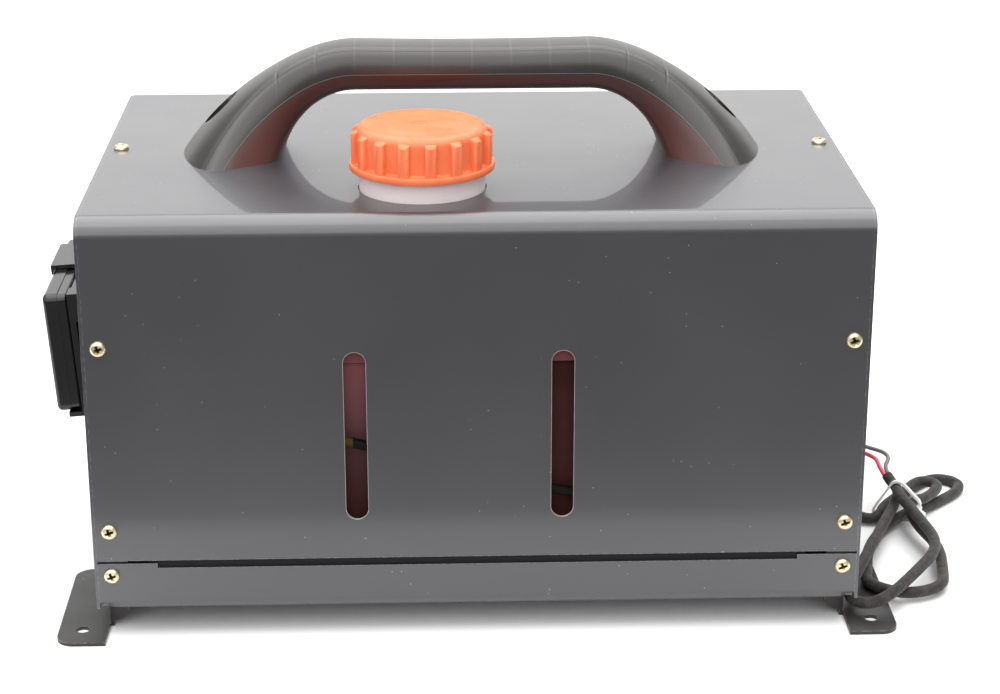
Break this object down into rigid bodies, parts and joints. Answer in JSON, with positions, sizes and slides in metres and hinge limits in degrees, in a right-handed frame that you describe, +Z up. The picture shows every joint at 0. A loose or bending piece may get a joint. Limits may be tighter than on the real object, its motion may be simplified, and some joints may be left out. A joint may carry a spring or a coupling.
{
  "type": "portable diesel air heater",
  "caption": "Box-shaped portable diesel air heater with a built-in fuel tank, screwed filler cap, arched carry handle, clip-on controller and side air grilles.",
  "frame": {"origin": "centre of the four foot holes, on the floor plane under the feet", "axes": "+X to the viewer's right along the housing, towards the power lead; +Y away from the viewer, from the slotted front to the back; +Z up"},
  "size_m": [0.5062, 0.273, 0.276],
  "materials": {
    "cover_paint": "glossy blue-grey powder coat",
    "foot_paint": "satin black-brown paint",
    "rivet_steel": "plain steel",
    "zinc_screw": "yellow zinc plating",
    "handle_plastic": "moulded dark grey, lightly ribbed",
    "shield_metal": "dull red-brown primer",
    "tank_plastic": "natural translucent white",
    "cap_plastic": "orange moulded plastic",
    "black_rubber": "matt black",
    "case_plastic": "moulded black",
    "cast_aluminium": "as cast",
    "burner_steel": "heat-tinted stainless",
    "motor_steel": "zinc-plated",
    "black_plastic": "moulded black",
    "brass_fitting": "turned",
    "filter_plastic": "clear moulded",
    "line_plastic": "dark green fuel line",
    "panel_plastic": "fine-textured black",
    "display_glass": "clear window over a dark display",
    "button_rubber": "soft grey",
    "board_plastic": "green board",
    "lead_sleeve": "black taped sleeve",
    "red_insulation": "red insulation",
    "black_insulation": "black insulation",
    "tie_plastic": "white nylon"
  },
  "bodies": {
    "housing": {"upper_cover": "cover_paint", "base_tray": "cover_paint", "left_end_plate": "cover_paint", "right_end_plate": "cover_paint", "left_foot": "foot_paint", "right_foot": "foot_paint", "foot_rivets": "rivet_steel", "cover_screws": "zinc_screw", "carry_handle": "handle_plastic", "handle_bolts": "rivet_steel", "handle_nuts": "rivet_steel", "heat_shield": "shield_metal", "fuel_tank": "tank_plastic", "heater_upper_shell": "case_plastic", "heater_lower_shell": "case_plastic", "heat_exchanger": "cast_aluminium", "burner_tube": "burner_steel", "glow_plug": "burner_steel", "blower_housing": "cast_aluminium", "fan_motor": "motor_steel", "control_unit": "black_plastic", "hot_air_outlet": "black_plastic", "outlet_guard": "black_plastic", "air_inlet_duct": "black_plastic", "air_inlet_guard": "black_plastic", "exhaust_pipe": "burner_steel", "combustion_air_pipe": "black_plastic", "tank_outlet": "brass_fitting", "tank_hose": "black_rubber", "fuel_filter": "filter_plastic", "filter_hose": "black_rubber", "fuel_pump": "motor_steel", "pump_mount": "black_rubber", "fuel_line": "line_plastic", "controller_front": "panel_plastic", "display_lens": "display_glass", "controller_board": "board_plastic", "controller_back": "panel_plastic", "controller_cradle": "panel_plastic", "cradle_screws": "zinc_screw", "controller_cable": "black_rubber", "cable_grommet": "black_rubber", "power_lead": "lead_sleeve", "red_wire": "red_insulation", "black_wire": "black_insulation", "cable_tie": "tie_plastic", "power_plug": "tie_plastic"},
    "cap_carrier": {"cap_gasket": "black_rubber"},
    "filler_cap": {"filler_cap": "cap_plastic"},
    "rotor": {"motor_shaft": "motor_steel", "heating_fan": "case_plastic", "combustion_fan": "cast_aluminium"},
    "plunger": {"pump_plunger": "motor_steel"},
    "power_button": {"power_button": "button_rubber"},
    "up_button": {"up_button": "button_rubber"},
    "set_button": {"set_button": "button_rubber"},
    "down_button": {"down_button": "button_rubber"},
    "mode_button": {"mode_button": "button_rubber"}
  },
  "joints": [
    {"name": "cap_lift", "type": "slide", "parent": "housing", "child": "cap_carrier", "axis": [0, 0, 1], "range_m": [0, 0.005]},
    {"name": "cap_turn", "type": "hinge", "parent": "cap_carrier", "child": "filler_cap", "pos_m": [-0.026, -0.0735, 0.24], "axis": [0, 0, 1], "range_deg": [0, 451]},
    {"name": "rotor_spin", "type": "hinge", "parent": "housing", "child": "rotor", "pos_m": [0.1, 0, 0.06], "axis": [1, 0, 0], "continuous": true},
    {"name": "plunger_stroke", "type": "slide", "parent": "housing", "child": "plunger", "axis": [1, 0, 0], "range_m": [0, 0.002], "stiffness_N_per_m": 150},
    {"name": "power_button_press", "type": "slide", "parent": "housing", "child": "power_button", "axis": [0.9976, 0, 0.0698], "range_m": [0, 0.0008], "stiffness_N_per_m": 400},
    {"name": "up_button_press", "type": "slide", "parent": "housing", "child": "up_button", "axis": [0.9976, 0, 0.0698], "range_m": [0, 0.0008], "stiffness_N_per_m": 400},
    {"name": "set_button_press", "type": "slide", "parent": "housing", "child": "set_button", "axis": [0.9976, 0, 0.0698], "range_m": [0, 0.0008], "stiffness_N_per_m": 400},
    {"name": "down_button_press", "type": "slide", "parent": "housing", "child": "down_button", "axis": [0.9976, 0, 0.0698], "range_m": [0, 0.0008], "stiffness_N_per_m": 400},
    {"name": "mode_button_press", "type": "slide", "parent": "housing", "child": "mode_button", "axis": [0.9976, 0, 0.0698], "range_m": [0, 0.0008], "stiffness_N_per_m": 400}
  ],
  "couplings": [
    {"joint": "cap_turn", "follows": "cap_lift", "rad_per_m": 1570.8}
  ]
}
